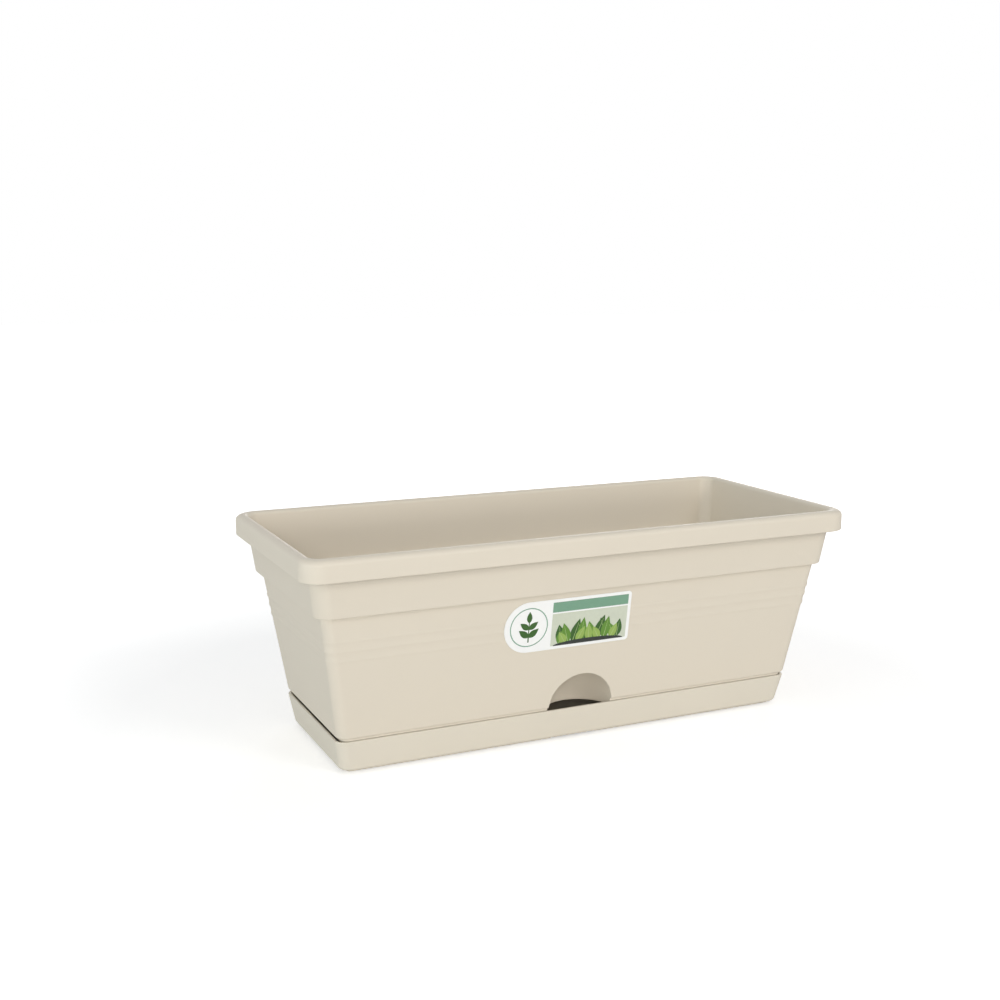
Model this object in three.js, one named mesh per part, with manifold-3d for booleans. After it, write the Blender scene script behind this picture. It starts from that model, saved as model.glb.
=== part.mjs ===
// Window box with a drip saucer: a moulded planting trough that stands on four legs inside a low saucer.
// Millimetres. X runs along the box, the front faces -Y, +Z is up.
// The origin is the middle of the footprint, on the surface that the saucer stands on.

import * as THREE from 'three';
import { mergeVertices } from 'three/addons/utils/BufferGeometryUtils.js';
import Module from 'manifold-3d';

const wasm = await Module();
wasm.setup();

// Overall size, over the lip
const LENGTH = 393;
const WIDTH = 172;
const HEIGHT = 146;

// Moulding
const TROUGH_WALL = 2.2;
const SAUCER_WALL = 2;
const SEAT_GAP = 0.3;

// Rolled lip: a skirt turned down outside the band, open below
const LIP_OVERHANG = 7.5;
const LIP_DEPTH = 14.2;
const LIP_CORNER = 14;
const LIP_OUTER_ROUND = 4.8;
const LIP_INNER_ROUND = 3.1;
const SKIRT_EDGE_ROUND = 0.8;
const ROOF_ROUND = 1.8;

// Band below the lip, and the ledge where the body steps in
const BAND_HEIGHT = 24.7;
const BAND_DRAFT = 7.7;
const BAND_CORNER = 11;
const LEDGE = 4.3;
const LEDGE_OUTER_ROUND = 0.8;
const LEDGE_INNER_ROUND = 0.8;

// Body, with fine raised ribs running all round
const BODY_DRAFT = 8.74;
const BODY_CORNER = 7;
const BODY_FOOT_ROUND = 3;
const RIB_COUNT = 3;
const RIB_DROP = 16.4;
const RIB_PITCH = 6.4;
const RIB_WIDTH = 3.4;
const RIB_FLANK = 0.8;
const RIB_HEIGHT = 0.3;

// Saucer
const SAUCER_HEIGHT = 22.8;
const SAUCER_DRAFT = 10.8;
const SAUCER_CORNER = 7;
const SAUCER_FOOT_ROUND = 5;
const RIM_ROUND = 0.9;
const RIM_END_PROUD = 1;
const RIM_SIDE_SETBACK = 0.5;
const FOOT_HEIGHT = 1.7;
const FOOT_WIDTH = 2.6;
const FOOT_INSET = 9.2;
const FOOT_NOTCH = 34;

// Where the trough enters the saucer, and the low seat that closes the gap along the long sides
const RIM_GAP = 1.9;
const SEAT_SETBACK = 1.2;
const SEAT_END_PROUD = 0.6;
const SPIGOT_CLEARANCE = 0.7;
const SPIGOT_DEPTH = 2.8;
const SPIGOT_ROUND = 1.4;

// Filling port: a half-round arch in the front with a domed hood behind it
const PORT_RADIUS = 24;

// Drain holes in the trough's floor
const DRAIN_DIAMETER = 8;
const DRAIN_PITCH = 52;
const DRAIN_END_MARGIN = 40;
const DRAIN_ROW_OFFSET = 6;

// Legs: cross-shaped ribs under the floor
const LEG_SPAN = 26;
const LEG_RIB = 2.4;
const LEG_END_MARGIN = 34;
const LEG_SIDE_MARGIN = 24;

// Webs that stiffen the hollow lip
const WEB_THICKNESS = 1.6;
const WEB_PITCH = 56;
const WEB_LIFT = 5;
const WEB_BITE = 0.6;

// Label on the front wall
const LABEL_LENGTH = 92;
const LABEL_HEIGHT = 35;
const LABEL_THICKNESS = 0.4;
const LABEL_DROP = 4.6;
const LABEL_SHIFT = -15;
const LABEL_CORNER = 2.5;

// Facets: a round of r millimetres gets about ROUND_FINENESS times the root of r
const CORNER_STEPS = 8;
const ROUND_FINENESS = 2;
const PORT_STEPS = 10;
const HOLE_STEPS = 16;

const MERGE_TOLERANCE = 1e-4;

// The most of an edge that the round at one end of it may take
const ROUND_SHARE = 0.49;

// How far a cut runs past the faces that it opens
const CUT_MARGIN = 2;

// Heights that follow from the sizes
const slope = (degrees) => Math.tan(THREE.MathUtils.degToRad(degrees));
const skirtZ = HEIGHT - LIP_DEPTH;
const ledgeZ = skirtZ - BAND_HEIGHT;
const bodyFootZ = SAUCER_HEIGHT + RIM_GAP;
const undersideZ = SAUCER_HEIGHT - SPIGOT_DEPTH;
const floorZ = undersideZ + TROUGH_WALL;
const saucerFloorZ = FOOT_HEIGHT + SAUCER_WALL;

// Insets of the outer walls from the lip's outer face, at a height
const bandInset = (z) => LIP_OVERHANG + slope(BAND_DRAFT) * (skirtZ - z);
const bodyInset = (z) => bandInset(ledgeZ) + LEDGE + slope(BODY_DRAFT) * (ledgeZ - z);

// Half sizes of the saucer's rim, and the inset of the spigot that enters it
const rimHalfX = LENGTH / 2 - bodyInset(SAUCER_HEIGHT) + RIM_END_PROUD;
const rimHalfY = WIDTH / 2 - bodyInset(SAUCER_HEIGHT) - RIM_SIDE_SETBACK;
const saucerInset = (z) => slope(SAUCER_DRAFT) * (SAUCER_HEIGHT - z);
const spigotInset = (z) => WIDTH / 2 - rimHalfY + SAUCER_WALL + SPIGOT_CLEARANCE + saucerInset(z);
const spigotCorner = SAUCER_CORNER - SAUCER_WALL - SPIGOT_CLEARANCE;

// Replaces each corner of a profile by an arc of its radius. A point is [inset, z, corner radius, round].
function roundProfile(points) {
  const path = [];
  points.forEach(([inset, z, corner, round], i) => {
    if (!round || i === 0 || i === points.length - 1) {
      path.push([inset, z, corner]);
      return;
    }
    const here = new THREE.Vector2(inset, z);
    const back = new THREE.Vector2(points[i - 1][0], points[i - 1][1]).sub(here);
    const on = new THREE.Vector2(points[i + 1][0], points[i + 1][1]).sub(here);
    const half = Math.abs(back.angleTo(on)) / 2;
    const reach = Math.min(round / Math.tan(half), back.length() * ROUND_SHARE, on.length() * ROUND_SHARE);
    const start = here.clone().addScaledVector(back.clone().normalize(), reach);
    const end = here.clone().addScaledVector(on.clone().normalize(), reach);
    const middle = back.clone().normalize().add(on.clone().normalize()).normalize();
    const centre = here.clone().addScaledVector(middle, reach / Math.cos(half));
    const from = start.clone().sub(centre);
    const to = end.clone().sub(centre);
    const turn = Math.atan2(from.cross(to), from.dot(to));
    const steps = Math.ceil(ROUND_FINENESS * Math.sqrt(round));
    for (let k = 0; k <= steps; k += 1) {
      const point = from.clone().rotateAround(new THREE.Vector2(), turn * (k / steps)).add(centre);
      path.push([point.x, point.y, corner]);
    }
  });
  return path;
}

// Closed body whose level sections are rounded rectangles, capped at the first and last section.
function loft(halfX, halfY, profile) {
  const positions = [];
  const count = 4 * (CORNER_STEPS + 1);
  profile.forEach(([inset, z, corner]) => {
    const hx = halfX - inset;
    const hy = halfY - inset;
    for (let quarter = 0; quarter < 4; quarter += 1) {
      const signX = quarter === 0 || quarter === 3 ? 1 : -1;
      const signY = quarter < 2 ? 1 : -1;
      for (let k = 0; k <= CORNER_STEPS; k += 1) {
        const angle = (quarter + k / CORNER_STEPS) * (Math.PI / 2);
        const x = signX * (hx - corner) + corner * Math.cos(angle);
        const y = signY * (hy - corner) + corner * Math.sin(angle);
        positions.push(x, y, z);
      }
    }
  });
  return skin(positions, count, [0, 0, profile[0][1]], [0, 0, profile[profile.length - 1][1]]);
}

// Closes rings of vertices into one body, each end by a fan round its own centre
function skin(positions, count, firstCentre, lastCentre) {
  const indices = [];
  const centre = positions.length / 3;
  const lastRing = centre - count;
  for (let a = 0; a < lastRing; a += count) {
    for (let k = 0; k < count; k += 1) {
      const next = (k + 1) % count;
      indices.push(a + k, a + next, a + next + count, a + k, a + next + count, a + k + count);
    }
  }
  for (let k = 0; k < count; k += 1) {
    const next = (k + 1) % count;
    indices.push(centre, next, k, centre + 1, lastRing + k, lastRing + next);
  }
  const geometry = new THREE.BufferGeometry();
  const all = [...positions, ...firstCentre, ...lastCentre];
  geometry.setAttribute('position', new THREE.Float32BufferAttribute(all, 3));
  geometry.setIndex(indices);
  return geometry;
}

function solidOf(geometry) {
  const bare = geometry.clone();
  bare.deleteAttribute('normal');
  bare.deleteAttribute('uv');
  const merged = mergeVertices(bare, MERGE_TOLERANCE);
  return new wasm.Manifold(new wasm.Mesh({
    numProp: 3,
    vertProperties: new Float32Array(merged.attributes.position.array),
    triVerts: new Uint32Array(merged.index.array),
  }));
}

function geometryOf(solid) {
  const { vertProperties, triVerts } = solid.getMesh();
  const geometry = new THREE.BufferGeometry();
  geometry.setAttribute('position', new THREE.BufferAttribute(new Float32Array(vertProperties), 3));
  geometry.setIndex(new THREE.BufferAttribute(new Uint32Array(triVerts), 1));
  geometry.computeVertexNormals();
  return geometry;
}

function block(x0, x1, y0, y1, z0, z1) {
  const geometry = new THREE.BoxGeometry(x1 - x0, y1 - y0, z1 - z0);
  return solidOf(geometry.translate((x0 + x1) / 2, (y0 + y1) / 2, (z0 + z1) / 2));
}

function upright(radius, x, y, z0, z1) {
  const geometry = new THREE.CylinderGeometry(radius, radius, z1 - z0, HOLE_STEPS);
  return solidOf(geometry.rotateX(Math.PI / 2).translate(x, y, (z0 + z1) / 2));
}

// Centres of a row of equal steps that fits inside a half length
function centredRow(halfLength, pitch) {
  const count = Math.floor((2 * halfLength) / pitch) + 1;
  return Array.from({ length: count }, (_, i) => (i - (count - 1) / 2) * pitch);
}

// Outside of the trough from its underside up to the ledge, ribs included
function bodyOutside() {
  const points = [
    [spigotInset(undersideZ) + 2 * SPIGOT_ROUND, undersideZ, spigotCorner - 2 * SPIGOT_ROUND],
    [spigotInset(undersideZ), undersideZ, spigotCorner, SPIGOT_ROUND],
    [spigotInset(bodyFootZ), bodyFootZ, spigotCorner],
    [bodyInset(bodyFootZ), bodyFootZ, BODY_CORNER, BODY_FOOT_ROUND],
  ];
  const foot = RIB_WIDTH / 2;
  const crest = foot - RIB_FLANK;
  for (let i = RIB_COUNT - 1; i >= 0; i -= 1) {
    const z = ledgeZ - RIB_DROP - i * RIB_PITCH;
    for (const [step, proud] of [[-foot, 0], [-crest, RIB_HEIGHT], [crest, RIB_HEIGHT], [foot, 0]]) {
      points.push([bodyInset(z + step) - proud, z + step, BODY_CORNER]);
    }
  }
  points.push([bodyInset(ledgeZ), ledgeZ, BODY_CORNER, LEDGE_INNER_ROUND]);
  return points;
}

// Band, hollow lip and crest, from the ledge up and over
function lipOutside() {
  const roofZ = HEIGHT - TROUGH_WALL;
  return [
    [bandInset(ledgeZ), ledgeZ, BAND_CORNER, LEDGE_OUTER_ROUND],
    [bandInset(roofZ), roofZ, BAND_CORNER, ROOF_ROUND],
    [TROUGH_WALL, roofZ, LIP_CORNER - TROUGH_WALL, ROOF_ROUND],
    [TROUGH_WALL, skirtZ, LIP_CORNER - TROUGH_WALL, SKIRT_EDGE_ROUND / 2],
    [0, skirtZ, LIP_CORNER, SKIRT_EDGE_ROUND],
    [0, HEIGHT, LIP_CORNER, LIP_OUTER_ROUND],
    [bandInset(HEIGHT) + TROUGH_WALL, HEIGHT, BAND_CORNER - TROUGH_WALL, LIP_INNER_ROUND],
  ];
}

// Inside of the trough, one wall thickness in from the outside, down to the floor
function troughInside() {
  const innerLedgeZ = ledgeZ + TROUGH_WALL;
  const innerFootZ = bodyFootZ + TROUGH_WALL;
  const corner = BODY_CORNER - TROUGH_WALL;
  const wellCorner = spigotCorner - TROUGH_WALL;
  return [
    [bandInset(innerLedgeZ) + TROUGH_WALL, innerLedgeZ, BAND_CORNER - TROUGH_WALL, LEDGE_INNER_ROUND],
    [bodyInset(innerLedgeZ) + TROUGH_WALL, innerLedgeZ, corner, LEDGE_OUTER_ROUND],
    [bodyInset(innerFootZ) + TROUGH_WALL, innerFootZ, corner, BODY_FOOT_ROUND - TROUGH_WALL],
    [spigotInset(innerFootZ) + TROUGH_WALL, innerFootZ, wellCorner],
    [spigotInset(floorZ) + TROUGH_WALL, floorZ, wellCorner, SPIGOT_ROUND / 2],
    [spigotInset(floorZ) + TROUGH_WALL + SPIGOT_ROUND, floorZ, wellCorner - SPIGOT_ROUND],
  ];
}

// Form of the filling port at a radius: a half-round arch that ends in a dome and goes straight down from it.
// Each level section is a U whose half width is that of the arch there.
function portForm(radius) {
  const domeY = bodyInset(SAUCER_HEIGHT) - WIDTH / 2;
  const frontY = -WIDTH / 2 - CUT_MARGIN;
  const levels = [[undersideZ - CUT_MARGIN, radius]];
  for (let k = 0; k <= PORT_STEPS; k += 1) {
    const climb = (k / PORT_STEPS) * (Math.PI / 2);
    levels.push([SAUCER_HEIGHT + radius * Math.sin(climb), radius * Math.cos(climb)]);
  }
  const positions = [];
  for (const [z, half] of levels) {
    positions.push(-half, frontY, z, half, frontY, z);
    for (let k = 0; k <= 2 * PORT_STEPS; k += 1) {
      const angle = (k / (2 * PORT_STEPS)) * Math.PI;
      positions.push(half * Math.cos(angle), domeY + half * Math.sin(angle), z);
    }
  }
  const count = 2 * PORT_STEPS + 3;
  return solidOf(skin(positions, count, [0, domeY, levels[0][0]], [0, domeY, levels[levels.length - 1][0]]));
}

// Low ring under the trough's foot. It shows along the long sides and stays behind the gap at the ends.
function seat() {
  const low = SAUCER_HEIGHT + SEAT_GAP;
  const high = bodyFootZ + TROUGH_WALL / 2;
  const halfX = LENGTH / 2 - spigotInset(bodyFootZ);
  const halfY = WIDTH / 2 - spigotInset(bodyFootZ);
  const ring = (x, y, corner, z0, z1) => solidOf(loft(x, y, [[0, z0, corner], [0, z1, corner]]));
  const bite = TROUGH_WALL / 2;
  return ring(halfX + SEAT_END_PROUD, rimHalfY - SEAT_SETBACK, SAUCER_CORNER - SEAT_SETBACK, low, high)
    .subtract(ring(halfX - bite, halfY - bite, spigotCorner, low - CUT_MARGIN, high + CUT_MARGIN));
}

function drainHoles() {
  const halfX = LENGTH / 2 - spigotInset(undersideZ) - DRAIN_END_MARGIN;
  return centredRow(halfX, DRAIN_PITCH).map((x) => upright(
    DRAIN_DIAMETER / 2, x, DRAIN_ROW_OFFSET, undersideZ - CUT_MARGIN, floorZ + CUT_MARGIN,
  ));
}

function legs() {
  const x = LENGTH / 2 - spigotInset(undersideZ) - LEG_END_MARGIN;
  const y = WIDTH / 2 - spigotInset(undersideZ) - LEG_SIDE_MARGIN;
  const low = saucerFloorZ + SEAT_GAP;
  const high = floorZ - TROUGH_WALL / 2;
  const ribs = [];
  for (const [cx, cy] of [[-x, -y], [x, -y], [x, y], [-x, y]]) {
    ribs.push(block(cx - LEG_SPAN / 2, cx + LEG_SPAN / 2, cy - LEG_RIB / 2, cy + LEG_RIB / 2, low, high));
    ribs.push(block(cx - LEG_RIB / 2, cx + LEG_RIB / 2, cy - LEG_SPAN / 2, cy + LEG_SPAN / 2, low, high));
  }
  return ribs;
}

function lipWebs() {
  const low = skirtZ + WEB_LIFT;
  const high = HEIGHT - TROUGH_WALL + WEB_BITE;
  const inner = bandInset(low) + WEB_BITE;
  const outer = TROUGH_WALL - WEB_BITE;
  const webs = [];
  for (const x of centredRow(LENGTH / 2 - 2 * LIP_CORNER, WEB_PITCH)) {
    for (const side of [-1, 1]) {
      const y = [side * (WIDTH / 2 - inner), side * (WIDTH / 2 - outer)].sort((a, b) => a - b);
      webs.push(block(x - WEB_THICKNESS / 2, x + WEB_THICKNESS / 2, y[0], y[1], low, high));
    }
  }
  for (const y of centredRow(WIDTH / 2 - 2 * LIP_CORNER, WEB_PITCH)) {
    for (const side of [-1, 1]) {
      const x = [side * (LENGTH / 2 - inner), side * (LENGTH / 2 - outer)].sort((a, b) => a - b);
      webs.push(block(x[0], x[1], y - WEB_THICKNESS / 2, y + WEB_THICKNESS / 2, low, high));
    }
  }
  return webs;
}

// The planting trough: one thin shell, its filling port, drain holes, legs and lip webs
function trough() {
  const outside = bodyOutside();
  const shell = solidOf(loft(
    LENGTH / 2, WIDTH / 2, roundProfile([...outside, ...lipOutside(), ...troughInside()]),
  ));
  const bite = TROUGH_WALL / 2;
  const inWall = solidOf(loft(LENGTH / 2 - bite, WIDTH / 2 - bite, roundProfile(outside)));
  const hood = portForm(PORT_RADIUS + TROUGH_WALL).intersect(inWall.translate(0, 0, bite));
  let solid = shell.add(hood).add(seat()).subtract(portForm(PORT_RADIUS));
  for (const hole of drainHoles()) {
    solid = solid.subtract(hole);
  }
  for (const rib of [...legs(), ...lipWebs()]) {
    solid = solid.add(rib);
  }
  return geometryOf(solid);
}

// The saucer: a low tray on a notched foot ring
function saucer() {
  const inside = SAUCER_WALL;
  const wall = solidOf(loft(rimHalfX, rimHalfY, roundProfile([
    [saucerInset(FOOT_HEIGHT) + SAUCER_FOOT_ROUND, FOOT_HEIGHT, SAUCER_CORNER - SAUCER_FOOT_ROUND],
    [saucerInset(FOOT_HEIGHT), FOOT_HEIGHT, SAUCER_CORNER, SAUCER_FOOT_ROUND],
    [0, SAUCER_HEIGHT, SAUCER_CORNER, RIM_ROUND],
    [inside, SAUCER_HEIGHT, SAUCER_CORNER - inside, RIM_ROUND],
    [inside + saucerInset(saucerFloorZ), saucerFloorZ, SAUCER_CORNER - inside, SAUCER_FOOT_ROUND - inside],
    [inside + saucerInset(saucerFloorZ) + SAUCER_FOOT_ROUND, saucerFloorZ, SAUCER_CORNER - SAUCER_FOOT_ROUND],
  ])));
  const ringTop = FOOT_HEIGHT + SAUCER_WALL / 2;
  const ringCorner = SAUCER_CORNER - SAUCER_FOOT_ROUND;
  const column = (inset, low, high) => solidOf(loft(rimHalfX, rimHalfY, [
    [inset, low, ringCorner],
    [inset, high, ringCorner],
  ]));
  const cutTop = ringTop + CUT_MARGIN;
  const ring = column(FOOT_INSET, 0, ringTop)
    .subtract(column(FOOT_INSET + FOOT_WIDTH, -CUT_MARGIN, cutTop))
    .subtract(block(-FOOT_NOTCH / 2, FOOT_NOTCH / 2, -rimHalfY, rimHalfY, -CUT_MARGIN, cutTop));
  return geometryOf(wall.add(ring));
}

// Label outline: one end half round, the other with small corners
function labelShape() {
  const right = LABEL_LENGTH / 2;
  const half = LABEL_HEIGHT / 2;
  const shape = new THREE.Shape();
  shape.moveTo(-right + half, -half);
  shape.lineTo(right - LABEL_CORNER, -half);
  shape.absarc(right - LABEL_CORNER, -half + LABEL_CORNER, LABEL_CORNER, -Math.PI / 2, 0, false);
  shape.lineTo(right, half - LABEL_CORNER);
  shape.absarc(right - LABEL_CORNER, half - LABEL_CORNER, LABEL_CORNER, 0, Math.PI / 2, false);
  shape.lineTo(-right + half, half);
  shape.absarc(-right + half, 0, half, Math.PI / 2, 1.5 * Math.PI, false);
  return shape;
}

function mesh(name, geometry, color, roughness) {
  const material = new THREE.MeshStandardMaterial({ color, roughness, metalness: 0 });
  const piece = new THREE.Mesh(geometry, material);
  piece.name = name;
  return piece;
}

const box = new THREE.Group();
box.add(mesh('trough', trough(), '#ded5c4', 0.5));
box.add(mesh('saucer', saucer(), '#d9d2c3', 0.5));

const labelBody = new THREE.ExtrudeGeometry(labelShape(), {
  depth: LABEL_THICKNESS,
  bevelEnabled: false,
  curveSegments: 2 * CORNER_STEPS,
});
const label = mesh('label', geometryOf(solidOf(labelBody)), '#eef0ea', 0.35);
const lean = THREE.MathUtils.degToRad(BODY_DRAFT);
const labelZ = ledgeZ - LABEL_DROP - (LABEL_HEIGHT / 2) * Math.cos(lean);
const labelStandoff = RIB_HEIGHT + SEAT_GAP;
label.rotation.x = Math.PI / 2 + lean;
label.position.set(
  LABEL_SHIFT,
  bodyInset(labelZ) - WIDTH / 2 - labelStandoff * Math.cos(lean),
  labelZ - labelStandoff * Math.sin(lean),
);
box.add(label);

export default box;
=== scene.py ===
import math

import bmesh
import bpy
from mathutils import Matrix, Vector


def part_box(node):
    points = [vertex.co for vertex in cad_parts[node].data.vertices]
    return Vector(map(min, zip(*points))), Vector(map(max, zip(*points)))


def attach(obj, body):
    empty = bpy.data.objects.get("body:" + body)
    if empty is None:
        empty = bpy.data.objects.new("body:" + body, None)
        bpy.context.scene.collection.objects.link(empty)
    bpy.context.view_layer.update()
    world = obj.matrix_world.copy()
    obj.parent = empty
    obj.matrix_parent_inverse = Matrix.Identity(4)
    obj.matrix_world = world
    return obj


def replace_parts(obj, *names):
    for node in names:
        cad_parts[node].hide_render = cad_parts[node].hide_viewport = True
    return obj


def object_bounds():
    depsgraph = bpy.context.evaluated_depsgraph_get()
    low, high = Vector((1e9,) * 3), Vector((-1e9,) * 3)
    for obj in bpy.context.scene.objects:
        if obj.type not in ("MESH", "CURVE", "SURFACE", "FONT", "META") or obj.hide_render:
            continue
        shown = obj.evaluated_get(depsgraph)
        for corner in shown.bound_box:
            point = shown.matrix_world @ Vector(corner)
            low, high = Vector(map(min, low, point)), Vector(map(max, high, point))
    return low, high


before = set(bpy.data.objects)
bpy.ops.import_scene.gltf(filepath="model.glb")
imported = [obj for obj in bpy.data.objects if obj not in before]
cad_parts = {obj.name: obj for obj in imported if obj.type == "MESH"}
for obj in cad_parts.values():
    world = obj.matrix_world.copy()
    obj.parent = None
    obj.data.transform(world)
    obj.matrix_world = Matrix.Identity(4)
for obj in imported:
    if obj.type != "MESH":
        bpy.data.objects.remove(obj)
cad_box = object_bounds()

MM = 0.001

# The photograph's view, fitted to the box's straight edges
CAMERA_PLACE = Vector((-0.40555, -0.79936, 0.31657))
CAMERA_YAW = -25.02
CAMERA_PITCH = 10.31
CAMERA_ROLL = 0.14
CAMERA_LENS = 47.47
SENSOR_WIDTH = 36
NEAR_CLIP = 0.01

# Lamps: place, width and height, watts, colour. All of them aim at one point.
LAMP_AIM = Vector((0, 0, 0.08))
LAMPS = {
    "key": ((0.8, -2.0, 1.4), (0.8, 0.6), 11.8, (1.0, 0.98, 0.955)),
    "front": ((-1.1, -2.2, 0.85), (0.7, 0.4), 11.8, (1.0, 0.98, 0.955)),
    "low": ((0.15, -2.5, 0.3), (0.8, 0.3), 8.8, (1.0, 0.98, 0.95)),
    "side": ((-2.1, -0.3, 0.4), (1.4, 0.7), 12, (0.89, 0.975, 1.0)),
    "back": ((1.3, 1.9, 0.6), (1.4, 0.8), 11, (1.0, 0.99, 0.97)),
    "top": ((0, 0.3, 2.2), (2.0, 1.4), 1.5, (1.0, 1.0, 1.0)),
}
SOFT_COLOUR = (0.97, 0.985, 1.0)
SOFT_STRENGTH = 0.4

# Floor, and the glow that lifts it to white from a near to a far distance
FLOOR_SIZE = 12
FLOOR_COLOUR = (0.9, 0.9, 0.9)
GLOW_NEAR = 0.3
GLOW_FAR = 1.1
GLOW_NEAR_STRENGTH = 0.4
GLOW_FAR_STRENGTH = 1

# Colours, linear
WHITE = (1, 1, 1)
TROUGH_COLOUR = (0.735, 0.67, 0.56)
SAUCER_COLOUR = (0.735, 0.682, 0.578)
FILM_COLOUR = (0.93, 0.935, 0.925)
SAGE_COLOUR = (0.19, 0.36, 0.25)
PALE_COLOUR = (0.62, 0.66, 0.54)
LEAF_COLOURS = {
    "light": (0.30, 0.45, 0.10),
    "mid": (0.12, 0.27, 0.035),
    "deep": (0.04, 0.12, 0.02),
}
VEIN_COLOUR = (0.45, 0.58, 0.25)
EARTH_COLOUR = (0.03, 0.036, 0.032)

# Surfaces. Noise scales are per metre, and a spread is the share that a colour drifts either way.
PLASTIC_ROUGHNESS = 0.5
PLASTIC_IOR = 1.49
PLASTIC_DRIFT_SCALE = 14
PLASTIC_DRIFT_DETAIL = 3
PLASTIC_SPREAD = 0.015
GRAIN_SCALE = 1600
GRAIN_DETAIL = 2
GRAIN_STRENGTH = 0.25
GRAIN_DEPTH = 0.1 * MM
INK_ROUGHNESS = 0.32
INK_MOTTLE_SCALE = 420
INK_MOTTLE_DETAIL = 4
INK_SPREAD = 0.06
FILM_SPREAD = 0.02

# Mouldings, in millimetres and degrees. The port's edge is eased above PORT_FOOT, clear of the round
# under the front wall.
WELD = 0.002
FLAT_ANGLE = 0.3
SHARP_ANGLE = 32
LARGE_FACE_WEIGHT = 100
BODY_DRAFT = 8.74
PORT_RADIUS = 24
PORT_FOOT = 28.5
PORT_TOLERANCE = 0.1
PORT_EDGE_ROUND = 0.7
PORT_EDGE_STEPS = 4

# Label, in millimetres, measured along the wall. Ink levels count steps of ink above the film.
LABEL_GAP = 0.3
LABEL_THICKNESS = 0.4
FILM_LIFT = 0.03
FILM_THICKNESS = 0.15
FILM_FACE = FILM_LIFT + FILM_THICKNESS
FILM_CORNER = 2.5
FILM_CORNER_STEPS = 8
FILM_END_STEPS = 40
INK_STEP = 0.02
INK_HAIR = INK_STEP / 10
MARGIN = 2.2

# Picture on the label's right: a band over a pale field with leaves that stand on a mound of earth
PICTURE_LEFT = -12
BAND_TALL = 7
BAND_GAP = 1
GROUND_LEVEL = 1
LEAF_LEVEL = 3
VEIN_LEVEL = 3.6
SHADE_LEVELS = 2
MOUND_LEVEL = 10
MOUND_HALF = 26
MOUND_TALL = 3
MOUND_STEPS = 24
LEAF_ROOT = 1
LEAF_STEPS = 14
LEAF_SWELL = 0.8
VEIN_WIDTH = 0.4
VEIN_REACH = 0.86
VEIN_TAPER = 3

# Leaves of each shade: place from the picture's middle, length, width, heading in degrees
LEAVES = {
    "deep": [
        (-20, 14, 7, 100), (-12, 17, 7, 74), (-3, 16, 7, 112),
        (5, 18, 7, 70), (13, 16, 7, 108), (21, 13, 6, 82),
    ],
    "mid": [
        (-22, 10, 6, 76), (-15, 15, 6.5, 106), (-6, 17, 6.5, 84),
        (3, 14, 6.5, 104), (11, 16, 6.5, 78), (19, 12, 6, 112),
    ],
    "light": [
        (-17, 10, 5.5, 122), (-9, 12, 5.5, 62), (0, 12, 5.5, 92),
        (8, 11, 5.5, 118), (16, 11, 5.5, 64),
    ],
}

# Badge on the label's left: a ring round a sprig. Heights are from the badge's middle.
RING_INNER = 12.8
RING_OUTER = 13.5
RING_PART = 30
RING_PART_STEPS = 4
STEM_FOOT = -10.5
STEM_FOOT_HALF = 0.45
STEM_HEAD = 4
STEM_HEAD_HALF = 0.3
SPRIG_HEADINGS = (38, 142)
SPRIG_PAIRS = ((-7, 9, 4.4), (-1.5, 8, 4))
SPRIG_TIP = (3, 8, 3.8)
UPRIGHT = 90


# Camera, lights and floor

def make_camera():
    yaw, pitch, roll = (math.radians(a) for a in (CAMERA_YAW, CAMERA_PITCH, CAMERA_ROLL))
    back = Vector((
        math.sin(yaw) * math.cos(pitch),
        -math.cos(yaw) * math.cos(pitch),
        math.sin(pitch),
    ))
    level = Vector((math.cos(yaw), math.sin(yaw), 0))
    rise = back.cross(level)
    right = level * math.cos(roll) + rise * math.sin(roll)
    up = rise * math.cos(roll) - level * math.sin(roll)
    turn = Matrix((right, up, back)).transposed()
    data = bpy.data.cameras.new("camera")
    data.lens = CAMERA_LENS
    data.sensor_width = SENSOR_WIDTH
    data.clip_start = NEAR_CLIP
    camera = bpy.data.objects.new("camera", data)
    camera.matrix_world = Matrix.Translation(CAMERA_PLACE) @ turn.to_4x4()
    bpy.context.scene.collection.objects.link(camera)
    bpy.context.scene.camera = camera


def area_light(name, place, size, power, colour):
    data = bpy.data.lights.new(name, "AREA")
    data.shape = "RECTANGLE"
    data.size, data.size_y = size
    data.energy = power
    data.color = colour
    lamp = bpy.data.objects.new(name, data)
    lamp.location = place
    lamp.rotation_euler = (LAMP_AIM - Vector(place)).to_track_quat("-Z", "Y").to_euler()
    bpy.context.scene.collection.objects.link(lamp)


def make_lights():
    for name, lamp in LAMPS.items():
        area_light(name, *lamp)


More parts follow.
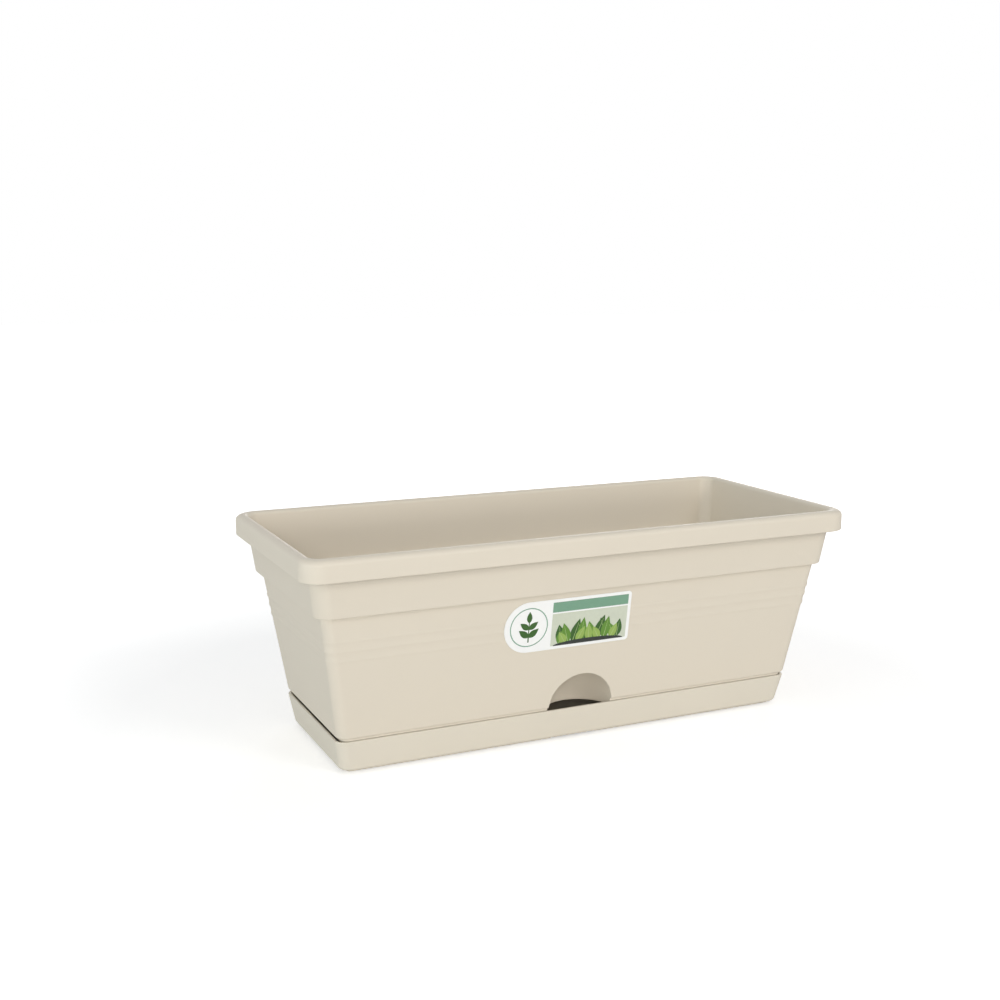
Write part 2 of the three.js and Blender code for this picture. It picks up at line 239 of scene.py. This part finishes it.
def make_world():
    """Soft studio light all round, and plain white where it is seen or mirrored."""
    world = bpy.data.worlds.new("studio")
    bpy.context.scene.world = world
    world.use_nodes = True
    tree = world.node_tree
    tree.nodes.clear()
    path = tree.nodes.new("ShaderNodeLightPath")
    out = tree.nodes.new("ShaderNodeOutputWorld")
    soft = tree.nodes.new("ShaderNodeBackground")
    soft.inputs["Color"].default_value = (*SOFT_COLOUR, 1)
    soft.inputs["Strength"].default_value = SOFT_STRENGTH
    white = tree.nodes.new("ShaderNodeBackground")
    white.inputs["Color"].default_value = (*WHITE, 1)
    white.inputs["Strength"].default_value = 1
    seen = path.outputs["Is Camera Ray"]
    for ray in ("Is Glossy Ray", "Is Transmission Ray"):
        either = tree.nodes.new("ShaderNodeMath")
        either.operation = "MAXIMUM"
        tree.links.new(seen, either.inputs[0])
        tree.links.new(path.outputs[ray], either.inputs[1])
        seen = either.outputs[0]
    mix = tree.nodes.new("ShaderNodeMixShader")
    tree.links.new(seen, mix.inputs[0])
    tree.links.new(soft.outputs[0], mix.inputs[1])
    tree.links.new(white.outputs[0], mix.inputs[2])
    tree.links.new(mix.outputs[0], out.inputs["Surface"])


def make_floor():
    """A plain pale floor that keeps the shadow near the box and is plain white further off."""
    bpy.ops.mesh.primitive_plane_add(size=FLOOR_SIZE, location=(0, 0, cad_box[0][2]))
    floor = bpy.context.object
    floor.name = "floor"
    material = bpy.data.materials.new("floor")
    material.use_nodes = True
    tree = material.node_tree
    tree.nodes.clear()
    out = tree.nodes.new("ShaderNodeOutputMaterial")
    diffuse = tree.nodes.new("ShaderNodeBsdfDiffuse")
    diffuse.inputs["Color"].default_value = (*FLOOR_COLOUR, 1)
    glow = tree.nodes.new("ShaderNodeEmission")
    glow.inputs["Color"].default_value = (*WHITE, 1)
    path = tree.nodes.new("ShaderNodeLightPath")
    place = tree.nodes.new("ShaderNodeTexCoord")
    away = tree.nodes.new("ShaderNodeVectorMath")
    away.operation = "LENGTH"
    rise = tree.nodes.new("ShaderNodeMapRange")
    rise.inputs["From Min"].default_value = GLOW_NEAR
    rise.inputs["From Max"].default_value = GLOW_FAR
    rise.inputs["To Min"].default_value = GLOW_NEAR_STRENGTH
    rise.inputs["To Max"].default_value = GLOW_FAR_STRENGTH
    lift = tree.nodes.new("ShaderNodeMath")
    lift.operation = "MULTIPLY"
    both = tree.nodes.new("ShaderNodeAddShader")
    tree.links.new(place.outputs["Object"], away.inputs[0])
    tree.links.new(away.outputs["Value"], rise.inputs["Value"])
    tree.links.new(path.outputs["Is Camera Ray"], lift.inputs[0])
    tree.links.new(rise.outputs["Result"], lift.inputs[1])
    tree.links.new(lift.outputs[0], glow.inputs["Strength"])
    tree.links.new(diffuse.outputs[0], both.inputs[0])
    tree.links.new(glow.outputs[0], both.inputs[1])
    tree.links.new(both.outputs[0], out.inputs["Surface"])
    floor.data.materials.append(material)


# Materials

def mottled(tree, colour, scale, detail, spread):
    """Colour that drifts a little with a noise in the object's own space."""
    place = tree.nodes.new("ShaderNodeTexCoord")
    cloud = tree.nodes.new("ShaderNodeTexNoise")
    cloud.inputs["Scale"].default_value = scale
    cloud.inputs["Detail"].default_value = detail
    ramp = tree.nodes.new("ShaderNodeValToRGB")
    ramp.color_ramp.elements[0].color = (*[c * (1 - spread) for c in colour], 1)
    ramp.color_ramp.elements[1].color = (*[min(1, c * (1 + spread)) for c in colour], 1)
    tree.links.new(place.outputs["Object"], cloud.inputs["Vector"])
    tree.links.new(cloud.outputs["Fac"], ramp.inputs["Fac"])
    tree.links.new(ramp.outputs["Color"], tree.nodes["Principled BSDF"].inputs["Base Color"])
    return place


def plastic(name, colour):
    """Matt moulded polypropylene: a faint drift in the colour and the fine grain of an eroded mould."""
    material = bpy.data.materials.new(name)
    material.use_nodes = True
    tree = material.node_tree
    shader = tree.nodes["Principled BSDF"]
    shader.inputs["Roughness"].default_value = PLASTIC_ROUGHNESS
    shader.inputs["IOR"].default_value = PLASTIC_IOR
    place = mottled(tree, colour, PLASTIC_DRIFT_SCALE, PLASTIC_DRIFT_DETAIL, PLASTIC_SPREAD)
    grain = tree.nodes.new("ShaderNodeTexNoise")
    grain.inputs["Scale"].default_value = GRAIN_SCALE
    grain.inputs["Detail"].default_value = GRAIN_DETAIL
    bump = tree.nodes.new("ShaderNodeBump")
    bump.inputs["Strength"].default_value = GRAIN_STRENGTH
    bump.inputs["Distance"].default_value = GRAIN_DEPTH
    tree.links.new(place.outputs["Object"], grain.inputs["Vector"])
    tree.links.new(grain.outputs["Fac"], bump.inputs["Height"])
    tree.links.new(bump.outputs["Normal"], shader.inputs["Normal"])
    return material


def ink(name, colour, spread):
    """Print on glossy film, with a slight mottle."""
    material = bpy.data.materials.new(name)
    material.use_nodes = True
    tree = material.node_tree
    tree.nodes["Principled BSDF"].inputs["Roughness"].default_value = INK_ROUGHNESS
    mottled(tree, colour, INK_MOTTLE_SCALE, INK_MOTTLE_DETAIL, spread)
    return material


# The two mouldings

def ease_port_edge(bm):
    """Rounds the edge where the filling port's arch breaks through the front wall."""
    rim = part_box("saucer")[1].z
    lean = math.tan(math.radians(BODY_DRAFT))
    near = PORT_TOLERANCE * MM
    on_arch = []
    for vertex in bm.verts:
        x, y, z = vertex.co
        off_arch = abs(math.hypot(x, z - rim) - PORT_RADIUS * MM)
        if y < 0 and z > PORT_FOOT * MM and off_arch < near:
            on_arch.append(vertex)
    front = min(v.co.y + lean * v.co.z for v in on_arch)
    wall = {v for v in on_arch if v.co.y + lean * v.co.z < front + near}
    edges = [e for e in bm.edges if e.verts[0] in wall and e.verts[1] in wall]
    ease = PORT_EDGE_ROUND * MM
    bmesh.ops.bevel(bm, geom=edges, offset=ease, segments=PORT_EDGE_STEPS, profile=0.5, affect="EDGES")


def moulding(node, material, ease=None):
    """The CAD solid as a smooth moulding: facets share corners, flats are whole, rounds shade round."""
    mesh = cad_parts[node].data.copy()
    mesh.name = node + "_moulding"
    if "custom_normal" in mesh.attributes:
        mesh.attributes.remove(mesh.attributes["custom_normal"])
    bm = bmesh.new()
    bm.from_mesh(mesh)
    bmesh.ops.remove_doubles(bm, verts=bm.verts, dist=WELD * MM)
    flat = math.radians(FLAT_ANGLE)
    bmesh.ops.dissolve_limit(bm, angle_limit=flat, verts=bm.verts, edges=bm.edges)
    if ease:
        ease(bm)
    bm.to_mesh(mesh)
    bm.free()
    for polygon in mesh.polygons:
        polygon.use_smooth = True
    mesh.set_sharp_from_angle(angle=math.radians(SHARP_ANGLE))
    piece = bpy.data.objects.new(node + "_moulding", mesh)
    bpy.context.scene.collection.objects.link(piece)
    even = piece.modifiers.new("even", "WEIGHTED_NORMAL")
    even.keep_sharp = True
    even.weight = LARGE_FACE_WEIGHT
    mesh.materials.clear()
    mesh.materials.append(material)
    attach(piece, node)
    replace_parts(piece, node)


# Outlines for the print

def arc(x, y, radius, start, end, steps):
    turns = [math.radians(start + (end - start) * k / steps) for k in range(steps + 1)]
    return [(x + radius * math.cos(t), y + radius * math.sin(t)) for t in turns]


def rectangle(left, right, bottom, top):
    return [(left, bottom), (right, bottom), (right, top), (left, top)]


def growth(heading):
    """Directions along and across something that grows along a heading in degrees."""
    along = Vector((math.cos(math.radians(heading)), math.sin(math.radians(heading))))
    return along, Vector((-along.y, along.x))


def leaf(x, y, length, width, heading):
    """Almond leaf that starts at a point and grows along a heading."""
    along, across = growth(heading)
    foot = Vector((x, y))

    def edge(side):
        points = []
        for k in range(1, LEAF_STEPS):
            share = k / LEAF_STEPS
            swell = math.sin(math.pi * share ** LEAF_SWELL) * width / 2
            points.append(foot + along * (length * share) + across * (side * swell))
        return points

    outline = [foot, *edge(-1), foot + along * length, *reversed(edge(1))]
    return [tuple(point) for point in outline]


def vein(x, y, length, heading):
    """Narrow midrib of a leaf."""
    along, across = growth(heading)
    half = across * (VEIN_WIDTH / 2)
    foot = Vector((x, y))
    tip = foot + along * (length * VEIN_REACH)
    corners = (foot - half, tip - half / VEIN_TAPER, tip + half / VEIN_TAPER, foot + half)
    return [tuple(corner) for corner in corners]


def mound(middle, ground):
    turns = [math.pi * k / MOUND_STEPS for k in range(MOUND_STEPS + 1)]
    return [(middle + MOUND_HALF * math.cos(t), ground + MOUND_TALL * math.sin(t)) for t in turns]


def ring(x):
    """Parts of a ring round a point at the label's half height."""
    parts = []
    for start in range(0, 360, RING_PART):
        end = start + RING_PART
        outer = arc(x, 0, RING_OUTER, start, end, RING_PART_STEPS)
        inner = arc(x, 0, RING_INNER, end, start, RING_PART_STEPS)
        parts.append(outer + inner)
    return parts


def sprig(x):
    """Stem, two pairs of leaves and a leaf at the tip."""
    stem = [
        (x - STEM_FOOT_HALF, STEM_FOOT), (x + STEM_FOOT_HALF, STEM_FOOT),
        (x + STEM_HEAD_HALF, STEM_HEAD), (x - STEM_HEAD_HALF, STEM_HEAD),
    ]
    pairs = [leaf(x, *size, heading) for size in SPRIG_PAIRS for heading in SPRIG_HEADINGS]
    return [stem, *pairs, leaf(x, *SPRIG_TIP, UPRIGHT)]


# The label: a printed film on the front wall

def prism(bm, outline, low, high):
    """Adds an upright prism on an outline that runs anticlockwise."""
    count = len(outline)
    vertices = [bm.verts.new((x * MM, y * MM, z * MM)) for z in (low, high) for x, y in outline]
    bm.faces.new(reversed(vertices[:count]))
    bm.faces.new(vertices[count:])
    for k in range(count):
        on = (k + 1) % count
        bm.faces.new((vertices[k], vertices[on], vertices[count + on], vertices[count + k]))


def label_place():
    """From the label's own plane, X right and Y up, to the wall's face behind the label's middle."""
    low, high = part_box("label")
    lean = math.radians(BODY_DRAFT)
    outward = Vector((0, -math.cos(lean), -math.sin(lean)))
    upward = Vector((0, -math.sin(lean), math.cos(lean)))
    centre = (low + high) / 2 - outward * (LABEL_GAP + LABEL_THICKNESS / 2) * MM
    turn = Matrix((Vector((1, 0, 0)), upward, outward)).transposed().to_4x4()
    return Matrix.Translation(centre) @ turn


def printed(name, outlines, low, high, material):
    """One colour of the label: thin solids on the wall, each a hair higher than the one before."""
    bm = bmesh.new()
    for i, outline in enumerate(outlines):
        prism(bm, outline, low, high + i * INK_HAIR)
    mesh = bpy.data.meshes.new(name)
    bm.to_mesh(mesh)
    bm.free()
    mesh.transform(label_place())
    mesh.materials.append(material)
    piece = bpy.data.objects.new(name, mesh)
    bpy.context.scene.collection.objects.link(piece)
    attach(piece, "trough")
    return piece


def ink_layer(name, outlines, level, colour):
    """One ink on the film, up to a level counted in steps of ink."""
    material = ink("ink_" + name, colour, INK_SPREAD)
    printed("label_" + name, outlines, FILM_FACE, FILM_FACE + level * INK_STEP, material)


def make_film(right, top, badge):
    film = [
        *arc(right - FILM_CORNER, FILM_CORNER - top, FILM_CORNER, -90, 0, FILM_CORNER_STEPS),
        *arc(right - FILM_CORNER, top - FILM_CORNER, FILM_CORNER, 0, 90, FILM_CORNER_STEPS),
        *arc(badge, 0, top, 90, 270, FILM_END_STEPS),
    ]
    material = ink("ink_film", FILM_COLOUR, FILM_SPREAD)
    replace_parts(printed("label_film", [film], FILM_LIFT, FILM_FACE, material), "label")


def make_picture(right, top):
    edge = right - MARGIN
    ground = MARGIN - top
    ceiling = top - MARGIN
    sky = ceiling - BAND_TALL
    middle = (PICTURE_LEFT + edge) / 2
    field = rectangle(PICTURE_LEFT, edge, ground, sky - BAND_GAP)
    ink_layer("sky", [field], GROUND_LEVEL, PALE_COLOUR)
    ink_layer("band", [rectangle(PICTURE_LEFT, edge, sky, ceiling)], GROUND_LEVEL, SAGE_COLOUR)
    for depth, (shade, leaves) in enumerate(LEAVES.items()):
        over = SHADE_LEVELS * depth
        spots = [(middle + dx, ground + LEAF_ROOT, *rest) for dx, *rest in leaves]
        blades = [leaf(*spot) for spot in spots]
        ink_layer("leaves_" + shade, blades, LEAF_LEVEL + over, LEAF_COLOURS[shade])
        veins = [vein(x, y, length, heading) for x, y, length, _, heading in spots]
        ink_layer("veins_" + shade, veins, VEIN_LEVEL + over, VEIN_COLOUR)
    ink_layer("mound", [mound(middle, ground)], MOUND_LEVEL, EARTH_COLOUR)


def make_label():
    low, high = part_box("label")
    right = (high.x - low.x) / 2 / MM
    top = (high.z - low.z) / 2 / MM / math.cos(math.radians(BODY_DRAFT))
    badge = top - right
    make_film(right, top, badge)
    make_picture(right, top)
    ink_layer("ring", ring(badge), GROUND_LEVEL, SAGE_COLOUR)
    ink_layer("sprig", sprig(badge), GROUND_LEVEL, LEAF_COLOURS["deep"])


bpy.context.scene.view_settings.view_transform = "Standard"
make_camera()
make_lights()
make_world()
make_floor()
moulding("trough", plastic("trough_moulded", TROUGH_COLOUR), ease_port_edge)
moulding("saucer", plastic("saucer_moulded", SAUCER_COLOUR))
make_label()
